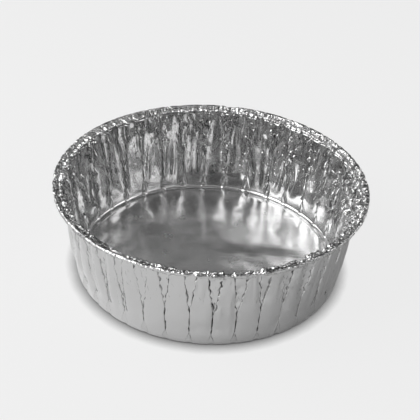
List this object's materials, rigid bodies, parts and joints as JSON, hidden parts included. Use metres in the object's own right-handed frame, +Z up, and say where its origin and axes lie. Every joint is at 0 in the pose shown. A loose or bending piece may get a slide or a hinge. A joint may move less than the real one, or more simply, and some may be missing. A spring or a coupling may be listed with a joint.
{
  "type": "foil pie tin",
  "caption": "Deep round tin of thin aluminium foil with a pleated, flared wall, a flat foot ring round a raised base panel, and a crumpled flange with a rolled bead.",
  "frame": {"origin": "centre of the tin on the plane that its foot ring stands on", "axes": "+Z up along the tin's axis, out of its open mouth; -Y is the side that faces the viewer in the picture"},
  "size_m": [0.1842, 0.1844, 0.0581],
  "materials": {
    "foil": "satin"
  },
  "bodies": {
    "root": {"foil_tin": "foil"}
  },
  "joints": []
}
